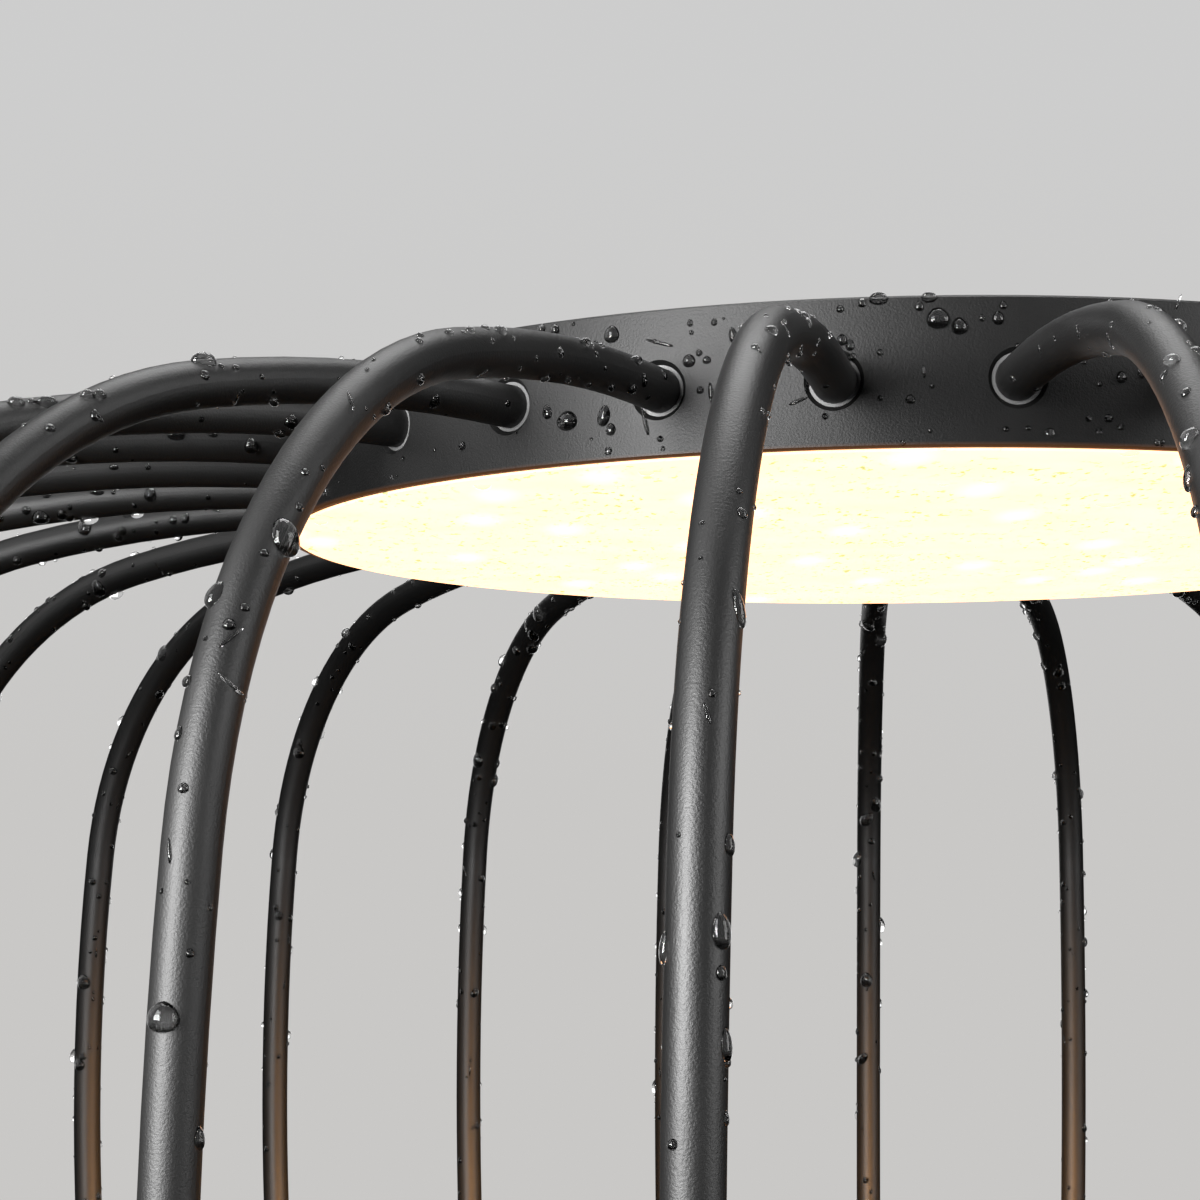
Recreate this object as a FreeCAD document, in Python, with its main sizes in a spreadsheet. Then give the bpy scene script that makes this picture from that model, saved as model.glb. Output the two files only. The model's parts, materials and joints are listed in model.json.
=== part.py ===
# Lantern cage floor lamp: a round light head carried on a barrel of curved rods over a weighted base.
# Millimetres, +Z up, origin on the floor at the lamp's axis. The feed tube faces -Y, the cord inlet +Y.
import FreeCAD
import Part
import Sketcher
import math
import os
import re

SIZES = {
    # overall
    "lamp_height": 450,             # floor to the top of the head, feet screwed in
    "cage_dia": 756,                # over the rods at their widest
    "head_dia": 350,                # light head and base alike
    "rim_height": 33.5,             # side of the head and of the base
    "foot_stand": 4,                # base above the floor, which is the height of a foot pad
    # curved rods
    "rod_count": 27,                # the feed tube counts as one
    "rod_dia": 10,
    "rod_level": 15.2,              # rod axis from the face that looks into the cage
    "exit_run": 11,                 # straight length outside the rim
    "shoulder_turn": 11.8,          # degrees
    "shoulder_ratio": 2.29,         # shoulder radius to the cage's reach past the straight length
    "flank_ratio": 3.03,            # flank radius to half the height between the rod ends
    "tapping_dia": 5,
    "tapping_depth": 14,
    # cups that make the head and the base
    "rim_wall": 8,
    "plate": 4,                     # closed upper side of each cup
    "lip": 2,                       # thin edge round the diffuser or the base cover
    "edge_break": 0.5,
    "socket_depth": 5,
    "socket_chamfer": 1,
    "collar_wall": 0.75,
    "inner_spot": 0.3,              # flat milled for each screw head inside the rim
    "fit_gap": 0.05,                # radial room in a bore
    "slip_gap": 0.3,                # room round a cover or past a screw's tip
    "thread_hold": 3,               # how far a small screw reaches into a plate
    # screws into the rod ends
    "screw_hole": 5.5,
    "screw_reach": 15,              # shank under the head
    "screw_head_dia": 8.5,
    "screw_head": 2.7,
    # feed tube, its nuts and the cable in it
    "tube_bore": 6,
    "neck_dia": 8,
    "neck_reach": 3,                # threaded neck past the seat of its nut
    "nut_flats": 12,
    "nut_thick": 2.5,
    "cable_dia": 4,
    # diffuser with its bayonet and gasket
    "diffuser_thick": 4,
    "diffuser_proud": 0.5,          # past the lower face of the head
    "gasket_thick": 1.5,
    "gasket_width": 4,
    "groove_start": 1.5,            # above the lower face of the head
    "groove_height": 1.5,
    "groove_depth": 1,
    "tab_count": 3,
    "tab_width": 20,
    "tab_thick": 1,
    "tab_play": 0.2,                # under a tab, and between diffuser and gasket
    "tab_reach": 0.6,               # past the edge of the diffuser
    "entry_width": 24,
    "twist": 30,                    # degrees from locked to free
    # light unit
    "spreader_margin": 11,          # from the rim's inner face
    "spreader_thick": 2.4,
    "flange_width": 8,              # of the reflector, outside the board
    "board_thick": 1.6,
    "chip_side": 3,
    "chip_height": 0.7,
    "chip_rows": 5,
    "chip_margin": 18,              # outermost row to the board's edge
    "chips_per_row": 6,             # so many more on each row outwards
    "board_screw_count": 6,
    "board_screw_dia": 3,
    "board_screw_head": 2,
    "board_screw_head_dia": 5.5,
    "reflector_wall": 1,
    "reflector_gap": 1.5,           # to the rim's inner face
    "grommet_dia": 6,
    "connector_side": 10,
    "connector_below": 3,           # under the cable's axis
    "connector_inset": 6,           # from the board's edge to its middle
    # base
    "cover_thick": 3,
    "cover_screw_count": 6,
    "cover_screw_inset": 11,        # from the rim's inner face
    "cover_screw_turn": 15,         # degrees from the feed tube
    "cover_screw_dia": 4,
    "cover_screw_head_dia": 8,
    "cover_screw_reach": 14,
    "cover_socket": 2.5,
    "cover_socket_depth": 2,
    "cover_boss_dia": 10,
    "foot_count": 3,
    "foot_inset": 14,               # from the rim's inner face
    "foot_turn": 30,                # degrees from the feed tube
    "foot_boss_dia": 16,
    "foot_bore_roof": 5.5,          # left above a foot's bore
    "stud_dia": 8,
    "stud_end_room": 4,             # above a stud that is screwed in
    "stud_room": 0.5,               # radial, through the base cover
    "pad_dia": 32,
    "pad_edge": 1,
    "pad_socket": 2.5,
    "ballast_room": 3,              # to the bosses outside and the terminal inside
    "ballast_clear": 10.5,          # under the plates
    "ballast_slot": 14,
    "ballast_screw_count": 4,
    "ballast_screw_turn": 45,
    "ballast_screw_dia": 5,
    "ballast_screw_head": 5,
    "ballast_screw_head_dia": 8.5,
    "driver_length": 100,
    "driver_width": 40,
    "driver_clear": 4.5,            # under the driver
    "driver_ear": 12,
    "driver_ear_length": 30,
    "driver_ear_thick": 2,
    "driver_screw_dia": 4,
    "driver_screw_head": 2.5,
    "driver_screw_head_dia": 7,
    "terminal_length": 12,
    "terminal_width": 30,
    "terminal_height": 14,
    "terminal_gap": 7,              # to the driver, bridged by the lead
    "terminal_poles": 3,
    "terminal_well_dia": 4,
    "terminal_well_depth": 5,
    "lead_dia": 5,
    # inlet for the supply cord
    "gland_thread_dia": 16,
    "gland_flats": 20,
    "gland_flange": 6,
    "gland_spot_dia": 25,
    "gland_spot": 0.5,              # flat milled for the gland outside the rim
    "gland_neck_dia": 14,
    "gland_neck_reach": 9,
    "gland_bore": 7,
    "gland_inner_reach": 2,         # past the inner face of the rim
    "cap_dia": 19,
    "cap_end": 4,
    "cap_round": 2.5,
    "flute_count": 12,
    "flute_dia": 3,
    "flute_depth": 0.8,
}

# Places and lengths that follow from the sizes
PLACES = {
    "head_radius": "head_dia / 2",
    "inner_radius": "head_radius - rim_wall",
    "cover_radius": "head_radius - lip - slip_gap",
    "socket_floor": "head_radius - socket_depth",
    "socket_radius": "rod_dia / 2 + collar_wall + 2 * fit_gap",
    "screw_seat": "inner_radius + inner_spot",
    "shoulder_start": "head_radius + exit_run",
    "cage_reach": "cage_dia / 2 - rod_dia / 2 - shoulder_start",
    "half_span": "(upper_rod - lower_rod) / 2",
    "shoulder_radius": "shoulder_ratio * cage_reach",
    "flank_radius": "flank_ratio * half_span",
    "flank_centre": "cage_dia / 2 - rod_dia / 2 - flank_radius",
    "equator": "(lower_rod + upper_rod) / 2",
    "lower_rod": "base_top - rod_level",
    "upper_rod": "head_face + rod_level",
    "head_face": "lamp_height - rim_height",
    "head_ceiling": "lamp_height - plate",
    "head_rebate": "diffuser_thick - diffuser_proud + gasket_thick",
    "diffuser_under": "head_face - diffuser_proud",
    "diffuser_top": "diffuser_under + diffuser_thick",
    "tab_under": "head_face + groove_start + tab_play",
    "spreader_radius": "inner_radius - spreader_margin",
    "spreader_under": "head_ceiling - spreader_thick",
    "board_radius": "spreader_radius - flange_width",
    "board_under": "spreader_under - board_thick",
    "board_screw_radius": "(chip_rows - 1.5) * chip_step",
    "chip_step": "(board_radius - chip_margin) / chip_rows",
    "connector_centre": "board_radius - connector_inset",
    "connector_outer": "connector_centre + connector_side / 2",
    "base_face": "foot_stand",
    "base_top": "base_face + rim_height",
    "base_ceiling": "base_top - plate",
    "base_rebate": "cover_thick + gasket_thick",
    "cover_top": "base_face + cover_thick",
    "cover_screw_radius": "inner_radius - cover_screw_inset",
    "cover_head_height": "(cover_screw_head_dia - cover_screw_dia) / 2",
    "foot_radius": "inner_radius - foot_inset",
    "foot_bore_top": "base_top - foot_bore_roof",
    "stud_tip": "foot_bore_top - stud_end_room",
    "ballast_outer": "foot_radius - foot_boss_dia / 2 - ballast_room",
    "ballast_inner": "terminal_start + terminal_length + ballast_room",
    "ballast_screw_radius": "(ballast_inner + ballast_outer) / 2",
    "ballast_under": "cover_top + ballast_clear",
    "driver_end": "driver_length / 2",
    "driver_under": "cover_top + driver_clear",
    "driver_screw_place": "(driver_width + driver_ear) / 2",
    "terminal_start": "driver_end + terminal_gap",
    "gland_seat": "head_radius - gland_spot",
    "gland_shoulder": "gland_seat + gland_flange",
    "gland_tip": "gland_shoulder + gland_neck_reach",
    "cap_tip": "gland_tip + cap_end",
}

FRONT_TURN = -90                    # degrees that bring the feed tube from +X round to -Y
FULL_TURN = 360
UP = FreeCAD.Vector(0, 0, 1)

doc = FreeCAD.newDocument("lantern_cage_lamp")
sheet = doc.addObject("Spreadsheet::Sheet", "Sizes")
for row, (alias, number) in enumerate(SIZES.items(), start=1):
    sheet.set(f"A{row}", alias)
    sheet.set(f"B{row}", str(number))
    sheet.setAlias(f"B{row}", alias)
doc.recompute()

sub_parts = []


def tied(text):
    """The expression with each size as its cell and each place written out in sizes."""
    def swap(found):
        word = found[0]
        if word in SIZES:
            return f"Sizes.{word}"
        if word in PLACES:
            return f"({tied(PLACES[word])})"
        return word
    return re.sub(r"[a-z_]+", swap, text)


def value(text):
    return float(sheet.evalExpression(tied(text)))


def count(text):
    return int(round(value(text)))


def flat(x, y):
    return FreeCAD.Vector(value(x), value(y), 0)


def new_body(label, turn="0"):
    """An empty sub-part, turned about the lamp's axis by so many degrees from the feed tube."""
    body = doc.addObject("PartDesign::Body", label)
    body.Label = label
    body.AllowCompound = True
    angle = f"{FRONT_TURN} + {turn}"
    body.Placement = FreeCAD.Placement(FreeCAD.Vector(), FreeCAD.Rotation(UP, value(angle)))
    body.setExpression("Placement.Rotation.Angle", tied(angle))
    sub_parts.append(body)
    return body


def origin(body, role):
    return next(item for item in body.Origin.OriginFeatures if item.Role == role)


def new_sketch(body, role, name, shift="0", rise="0", lift="0"):
    """A sketch on an origin plane, moved in the plane by shift and rise and off the plane by lift."""
    sketch = body.newObject("Sketcher::SketchObject", name)
    sketch.AttachmentSupport = [(origin(body, role), "")]
    sketch.MapMode = "FlatFace"
    for direction, text in (("x", shift), ("y", rise), ("z", lift)):
        sketch.setExpression(f"AttachmentOffset.Base.{direction}", tied(text))
    return sketch


def fix(sketch, kind, places, text):
    """A dimension of the sketch, bound to an expression."""
    start = math.radians(value(text)) if kind == "Angle" else value(text)
    index = sketch.addConstraint(Sketcher.Constraint(kind, *places, start))
    sketch.setExpression(f"Constraints[{index}]", tied(text))


def pin(sketch, geometry, point, x, y):
    fix(sketch, "DistanceX", (-1, 1, geometry, point), x)
    fix(sketch, "DistanceY", (-1, 1, geometry, point), y)


def outline(sketch, corners):
    """A closed polygon with each corner at a pair of expressions."""
    first = sketch.GeometryCount
    total = len(corners)
    for index, corner in enumerate(corners):
        following = corners[(index + 1) % total]
        sketch.addGeometry(Part.LineSegment(flat(*corner), flat(*following)), False)
    for index in range(total):
        joint = (first + index, 2, first + (index + 1) % total, 1)
        sketch.addConstraint(Sketcher.Constraint("Coincident", *joint))
    for index, corner in enumerate(corners):
        pin(sketch, first + index, 1, *corner)


def rectangle(sketch, left, right, bottom, top):
    outline(sketch, [(left, bottom), (right, bottom), (right, top), (left, top)])


def hexagon(sketch, x, y, flats):
    """A hexagon with level flats."""
    corners = []
    for side, rise in ((2, 0), (1, 1), (-1, 1), (-2, 0), (-1, -1), (1, -1)):
        corners.append((f"{x} + ({side}) * {flats} / sqrt(12)", f"{y} + ({rise}) * {flats} / 2"))
    outline(sketch, corners)


def circle(sketch, x, y, diameter):
    index = sketch.addGeometry(Part.Circle(flat(x, y), UP, value(diameter) / 2), False)
    pin(sketch, index, 3, x, y)
    fix(sketch, "Diameter", (index,), diameter)


def turned(body, name, corners, kind="Revolution", axis="V_Axis", **offsets):
    """A solid or a cut turned from an outline in an upright plane, about the outline's own axis."""
    sketch = new_sketch(body, "XZ_Plane", f"{name}_outline", **offsets)
    outline(sketch, corners)
    feature = body.newObject(f"PartDesign::{kind}", name)
    feature.Profile = sketch
    feature.ReferenceAxis = (sketch, [axis])
    feature.Angle = FULL_TURN
    return feature


def extruded(body, name, sketch, depth, kind="Pad", reverse=False):
    feature = body.newObject(f"PartDesign::{kind}", name)
    feature.Profile = sketch
    feature.setExpression("Length", tied(depth))
    feature.Reversed = reverse
    return feature


def slab(body, name, sides, lift, depth, kind="Pad", upward=False):
    """A block, or a block-shaped cut, with (left, right, front, back) sides, down or up from a level."""
    sketch = new_sketch(body, "XY_Plane", f"{name}_sides", lift=lift)
    rectangle(sketch, *sides)
    return extruded(body, name, sketch, depth, kind, upward == (kind == "Pocket"))


def drilled(body, name, holes, lift, depth):
    """Round holes of (x, y, diameter), cut up from a level."""
    sketch = new_sketch(body, "XY_Plane", f"{name}_rounds", lift=lift)
    for hole in holes:
        circle(sketch, *hole)
    return extruded(body, name, sketch, depth, "Pocket", reverse=True)


def ring_of(body, name, features, number, span=str(FULL_TURN), axis=None):
    """Repeats features round the lamp's axis, or round another."""
    pattern = body.newObject("PartDesign::PolarPattern", name)
    pattern.Originals = features
    pattern.Axis = axis or (origin(body, "Z_Axis"), [""])
    pattern.setExpression("Angle", tied(span))
    pattern.setExpression("Occurrences", tied(number))
    body.Tip = pattern


def around(radius, turn):
    """Middle of the first of a ring of things."""
    return (f"{radius} * cos({turn})", f"{radius} * sin({turn})")


def beside(radius, turn):
    """The same middle, as the shift and lift of an upright sketch."""
    return {"shift": f"{radius} * cos({turn})", "lift": f"-{radius} * sin({turn})"}


def cage_curve(path, top_end, bottom_end):
    """Centre line of a rod: out of the head, shoulder, bend, flank, bend, shoulder, into the base."""
    turn = math.radians(value("shoulder_turn"))
    shoulder = value("shoulder_radius")
    flank = value("flank_radius")
    shoulder_centre = flat("shoulder_start", "upper_rod - shoulder_radius")
    flank_middle = flat("flank_centre", "equator")
    outward = FreeCAD.Vector(math.sin(turn), math.cos(turn), 0)
    shoulder_end = shoulder_centre + outward * shoulder
    # the bend's radius is the one that meets shoulder and flank without a kink
    away = flank_middle - shoulder_end
    bend = (away.dot(away) - flank ** 2) / (-2 * (away.dot(outward) + flank))
    bend_centre = shoulder_end - outward * bend
    heading = bend_centre - flank_middle
    bend_stop = math.atan2(heading.y, heading.x)
    quarter = math.pi / 2

    def mirrored(centre):
        return FreeCAD.Vector(centre.x, 2 * flank_middle.y - centre.y, 0)

    arcs = [
        (shoulder_centre, shoulder, quarter - turn, quarter),
        (bend_centre, bend, bend_stop, quarter - turn),
        (flank_middle, flank, -bend_stop, bend_stop),
        (mirrored(bend_centre), bend, turn - quarter, -bend_stop),
        (mirrored(shoulder_centre), shoulder, -quarter, turn - quarter),
    ]
    run_out = path.addGeometry(
        Part.LineSegment(flat(top_end, "upper_rod"), flat("shoulder_start", "upper_rod")), False)
    first = run_out + 1
    for centre, radius, start, stop in arcs:
        path.addGeometry(Part.ArcOfCircle(Part.Circle(centre, UP, radius), start, stop), False)
    last = run_out + len(arcs)
    run_in = path.addGeometry(
        Part.LineSegment(flat("shoulder_start", "lower_rod"), flat(bottom_end, "lower_rod")), False)

    path.addConstraint(Sketcher.Constraint("Tangent", run_out, 2, first, 2))
    for arc in range(first, last):
        path.addConstraint(Sketcher.Constraint("Tangent", arc, 1, arc + 1, 2))
    path.addConstraint(Sketcher.Constraint("Tangent", last, 1, run_in, 1))
    for run in (run_out, run_in):
        path.addConstraint(Sketcher.Constraint("Horizontal", run))
    pin(path, run_out, 1, top_end, "upper_rod")
    pin(path, run_in, 2, bottom_end, "lower_rod")
    fix(path, "DistanceX", (-1, 1, run_out, 2), "shoulder_start")
    fix(path, "DistanceX", (-1, 1, run_in, 1), "shoulder_start")
    for arc in (first, last):
        fix(path, "Radius", (arc,), "shoulder_radius")
        fix(path, "Angle", (arc,), "shoulder_turn")
    flank_arc = (first + last) // 2
    fix(path, "Radius", (flank_arc,), "flank_radius")
    pin(path, flank_arc, 3, "flank_centre", "equator")


def bent_bar(body, top_end, bottom_end, diameters):
    """A round bar or tube along the cage curve."""
    path = new_sketch(body, "XZ_Plane", "centre_line")
    cage_curve(path, top_end, bottom_end)
    doc.recompute()
    section = new_sketch(body, "YZ_Plane", "section", lift=top_end)
    for diameter in diameters:
        circle(section, "0", "upper_rod", diameter)
    bar = body.newObject("PartDesign::AdditivePipe", "bar")
    bar.Profile = section
    bar.Spine = (path, [f"Edge{edge}" for edge in range(1, path.GeometryCount + 1)])


def cage_rod(index):
    """A solid rod, tapped in both ends."""
    body = new_body(f"cage_rod_{index:02d}", f"{index} * 360 / rod_count")
    bent_bar(body, "socket_floor", "socket_floor", ["rod_dia"])
    ends = new_sketch(body, "YZ_Plane", "tapped_ends", lift="socket_floor")
    for level in ("upper_rod", "lower_rod"):
        circle(ends, "0", level, "tapping_dia")
    extruded(body, "tapping", ends, "tapping_depth", "Pocket", reverse=True)


def feed_tube():
    """The one hollow rod, with a threaded neck at each end."""
    body = new_body("feed_tube")
    bent_bar(body, "socket_floor", "socket_floor", ["rod_dia", "tube_bore"])
    necks = new_sketch(body, "YZ_Plane", "neck_rounds", lift="socket_floor")
    for level in ("upper_rod", "lower_rod"):
        circle(necks, "0", level, "neck_dia")
        circle(necks, "0", level, "tube_bore")
    extruded(body, "necks", necks, "socket_floor - screw_seat + neck_reach", reverse=True)


def feed_tube_nuts():
    body = new_body("feed_tube_nuts")
    nuts = new_sketch(body, "YZ_Plane", "nut_sides", lift="screw_seat")
    for level in ("upper_rod", "lower_rod"):
        hexagon(nuts, "0", level, "nut_flats")
        circle(nuts, "0", level, "neck_dia + 2 * fit_gap")
    extruded(body, "nuts", nuts, "nut_thick", reverse=True)


def feed_cable():
    body = new_body("feed_cable")
    bent_bar(body, "connector_outer", "driver_end", ["cable_dia"])


def cup(label, face, lip_steps, rebate):
    """A round cup, open downwards, with a thin lip below its thick rim."""
    body = new_body(label)
    top = f"{face} + rim_height"
    ceiling = f"{top} - plate"
    corners = [
        ("0", ceiling),
        ("0", top),
        ("head_radius - edge_break", top),
        ("head_radius", f"{top} - edge_break"),
        ("head_radius", f"{face} + edge_break"),
        ("head_radius - edge_break", face),
        ("head_radius - lip", face),
        *lip_steps,
        ("head_radius - lip", f"{face} + {rebate}"),
        ("inner_radius", f"{face} + {rebate}"),
        ("inner_radius", ceiling),
    ]
    turned(body, "shell", corners)
    return body


def cut_sockets(body, level):
    """A ring of rod sockets, each with a mouth, a collar bore, a screw hole and a flat for the screw."""
    past_inside = "inner_radius - screw_head"
    past_outside = "head_radius + socket_chamfer"
    corners = [
        (past_inside, "0"),
        (past_outside, "0"),
        (past_outside, "socket_radius + 2 * socket_chamfer"),
        ("head_radius - socket_chamfer", "socket_radius"),
        ("socket_floor", "socket_radius"),
        ("socket_floor", "screw_hole / 2"),
        ("screw_seat", "screw_hole / 2"),
        ("screw_seat", "screw_head_dia / 2 + slip_gap"),
        (past_inside, "screw_head_dia / 2 + slip_gap"),
    ]
    socket = turned(body, "socket", corners, "Groove", "H_Axis", rise=level)
    ring_of(body, "sockets", [socket], "rod_count")
    neck_corners = [
        (past_inside, "0"),
        ("socket_floor", "0"),
        ("socket_floor", "neck_dia / 2 + fit_gap"),
        ("screw_seat", "neck_dia / 2 + fit_gap"),
        ("screw_seat", "nut_flats / sqrt(3) + slip_gap"),
        (past_inside, "nut_flats / sqrt(3) + slip_gap"),
    ]
    turned(body, "feed_hole", neck_corners, "Groove", "H_Axis", rise=level)


def collars(label, level):
    """Bright sleeves between the rods and their sockets."""
    body = new_body(label)
    inside = "rod_dia / 2 + fit_gap"
    outside = "rod_dia / 2 + fit_gap + collar_wall"
    mouth = "head_radius - socket_chamfer"
    corners = [("socket_floor", inside), (mouth, inside), (mouth, outside), ("socket_floor", outside)]
    collar = turned(body, "collar", corners, axis="H_Axis", rise=level)
    ring_of(body, "ring", [collar], "rod_count")


def rod_screws(label, level):
    """Screws from inside a rim into the solid rods."""
    body = new_body(label, "360 / rod_count")
    tip = "screw_seat + screw_reach"
    shank = "tapping_dia / 2 - fit_gap"
    corners = [
        ("screw_seat - screw_head", "0"),
        (tip, "0"),
        (tip, shank),
        ("screw_seat", shank),
        ("screw_seat", "screw_head_dia / 2"),
        ("screw_seat - screw_head", "screw_head_dia / 2"),
    ]
    screw = turned(body, "screw", corners, axis="H_Axis", rise=level)
    ring_of(body, "ring", [screw], "rod_count - 1", "360 - 2 * 360 / rod_count")


def hung_screw(body, under, head, head_dia, dia, tip, **offsets):
    """A screw that points up, with its head under a level."""
    corners = [
        ("0", f"{under} - {head}"),
        (f"{head_dia} / 2", f"{under} - {head}"),
        (f"{head_dia} / 2", under),
        (f"{dia} / 2", under),
        (f"{dia} / 2", tip),
        ("0", tip),
    ]
    return turned(body, "screw", corners, **offsets)


def flat_ring(label, inside, outside, under, top):
    body = new_body(label)
    turned(body, "ring", [(inside, under), (outside, under), (outside, top), (inside, top)])


def loose(diameter):
    """Hole for a screw or stud of a diameter."""
    return f"{diameter} + 2 * fit_gap"


def head_housing():
    groove_top = "head_face + groove_start + groove_height"
    groove = [
        ("head_radius - lip", "head_face + groove_start"),
        ("head_radius - lip + groove_depth", "head_face + groove_start"),
        ("head_radius - lip + groove_depth", groove_top),
        ("head_radius - lip", groove_top),
    ]
    body = cup("head_housing", "head_face", groove, "head_rebate")
    cut_sockets(body, "upper_rod")
    entry = slab(
        body, "tab_entry",
        ("-entry_width / 2", "entry_width / 2", "lip - groove_depth - head_radius", "lip - cover_radius"),
        "head_face", "groove_start", "Pocket", upward=True)
    ring_of(body, "tab_entries", [entry], "tab_count")
    hole = drilled(
        body, "board_screw_hole", [("board_screw_radius", "0", loose("board_screw_dia"))],
        "head_ceiling", "thread_hold + slip_gap")
    ring_of(body, "board_screw_holes", [hole], "board_screw_count")


def light_plate(label, radius, under, thick):
    """A round plate with the light board's screw holes."""
    body = new_body(label)
    top = f"{under} + {thick}"
    turned(body, "plate", [("0", under), (radius, under), (radius, top), ("0", top)])
    round_hole = ("board_screw_radius", "0", loose("board_screw_dia"))
    hole = drilled(body, "screw_hole", [round_hole], under, thick)
    ring_of(body, "screw_holes", [hole], "board_screw_count")


def led_chips():
    """Rows of light chips under the board."""
    body = new_body("led_chips")
    for row in range(1, count("chip_rows") + 1):
        middle = f"{row} * chip_step"
        half = "chip_side / 2"
        sides = (f"{middle} - {half}", f"{middle} + {half}", f"-{half}", half)
        chip = slab(body, f"chip_{row}", sides, "board_under", "chip_height")
        ring_of(body, f"row_{row}", [chip], f"{row} * chips_per_row")


def board_screws():
    body = new_body("board_screws")
    screw = hung_screw(
        body, "board_under", "board_screw_head", "board_screw_head_dia", "board_screw_dia",
        "head_ceiling + thread_hold", shift="board_screw_radius")
    ring_of(body, "ring", [screw], "board_screw_count")


def head_connector():
    """Screw terminal of the light board, down to the feed cable."""
    body = new_body("head_connector")
    inner = "connector_outer - connector_side"
    sides = (inner, "connector_outer", "-connector_side / 2", "connector_side / 2")
    slab(body, "block", sides, "board_under", "board_under - upper_rod + connector_below")


def reflector():
    """White cone from the board out to the rim, with a hole for the cable."""
    body = new_body("reflector")
    foot = "head_face + head_rebate + slip_gap"
    outer_foot = "inner_radius - reflector_gap"
    corners = [
        ("board_radius + slip_gap", "spreader_under - reflector_wall"),
        ("board_radius + slip_gap", "spreader_under"),
        ("spreader_radius", "spreader_under"),
        (outer_foot, foot),
        (f"{outer_foot} - reflector_wall", foot),
        ("spreader_radius - reflector_wall", "spreader_under - reflector_wall"),
    ]
    turned(body, "cone", corners)
    hole = new_sketch(body, "YZ_Plane", "cable_round", lift="board_radius")
    circle(hole, "0", "upper_rod", "grommet_dia")
    extruded(body, "cable_hole", hole, "inner_radius - board_radius", "Pocket", reverse=True)


def diffuser():
    """Opal disc with bayonet tabs, shown locked."""
    body = new_body("diffuser", "twist")
    corners = [
        ("0", "diffuser_under"),
        ("cover_radius - edge_break", "diffuser_under"),
        ("cover_radius", "diffuser_under + edge_break"),
        ("cover_radius", "diffuser_top"),
        ("0", "diffuser_top"),
    ]
    turned(body, "disc", corners)
    sides = ("-tab_width / 2", "tab_width / 2", "-cover_radius - tab_reach", "lip - cover_radius")
    tab = slab(body, "tab", sides, "tab_under", "tab_thick", upward=True)
    ring_of(body, "tabs", [tab], "tab_count")


def base_housing():
    """Lower cup with its bosses, tapped holes and the seat of the cord inlet."""
    body = cup("base_housing", "base_face", [], "base_rebate")
    cut_sockets(body, "lower_rod")
    foot = around("foot_radius", "foot_turn")
    screw = around("cover_screw_radius", "cover_screw_turn")
    rings = [
        ("foot_boss", foot, "foot_boss_dia", "foot_count"),
        ("cover_boss", screw, "cover_boss_dia", "cover_screw_count"),
    ]
    for name, middle, boss_dia, number in rings:
        sketch = new_sketch(body, "XY_Plane", f"{name}_round", lift="base_ceiling")
        circle(sketch, *middle, boss_dia)
        boss = extruded(body, name, sketch, "base_ceiling - cover_top", reverse=True)
        ring_of(body, f"{name}_ring", [boss], number)
    ballast = around("ballast_screw_radius", "ballast_screw_turn")
    driver = ("0", "driver_screw_place")
    blind = "thread_hold + slip_gap"
    cover_depth = "cover_screw_reach - cover_thick + slip_gap"
    holes = [
        ("foot_bore", foot, loose("stud_dia"), "cover_top", "foot_bore_top - cover_top", "foot_count"),
        ("cover_bore", screw, loose("cover_screw_dia"), "cover_top", cover_depth, "cover_screw_count"),
        ("ballast_bore", ballast, loose("ballast_screw_dia"), "base_ceiling", blind, "ballast_screw_count"),
        ("driver_bore", driver, loose("driver_screw_dia"), "base_ceiling", blind, "2"),
    ]
    for name, middle, diameter, start, depth, number in holes:
        hole = drilled(body, name, [(*middle, diameter)], start, depth)
        ring_of(body, f"{name}_ring", [hole], number)
    outside = "-head_radius - edge_break"
    inside = "-inner_radius + gland_inner_reach"
    inlet = [
        (outside, "0"),
        (outside, "gland_spot_dia / 2"),
        ("-gland_seat", "gland_spot_dia / 2"),
        ("-gland_seat", "gland_thread_dia / 2 + fit_gap"),
        (inside, "gland_thread_dia / 2 + fit_gap"),
        (inside, "0"),
    ]
    turned(body, "cord_inlet", inlet, "Groove", "H_Axis", rise="lower_rod")


def base_cover():
    body = new_body("base_cover")
    corners = [
        ("0", "base_face"),
        ("cover_radius - edge_break", "base_face"),
        ("cover_radius", "base_face + edge_break"),
        ("cover_radius", "cover_top"),
        ("0", "cover_top"),
    ]
    turned(body, "disc", corners)
    foot = around("foot_radius", "foot_turn")
    hole = drilled(body, "stud_hole", [(*foot, "stud_dia + 2 * stud_room")], "base_face", "cover_thick")
    ring_of(body, "stud_holes", [hole], "foot_count")
    sink = [
        ("0", "base_face"),
        ("cover_screw_head_dia / 2 + fit_gap", "base_face"),
        ("cover_screw_dia / 2 + fit_gap", "base_face + cover_head_height"),
        ("cover_screw_dia / 2 + fit_gap", "cover_top"),
        ("0", "cover_top"),
    ]
    place = beside("cover_screw_radius", "cover_screw_turn")
    ring_of(body, "sinks", [turned(body, "sink", sink, "Groove", **place)], "cover_screw_count")


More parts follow.
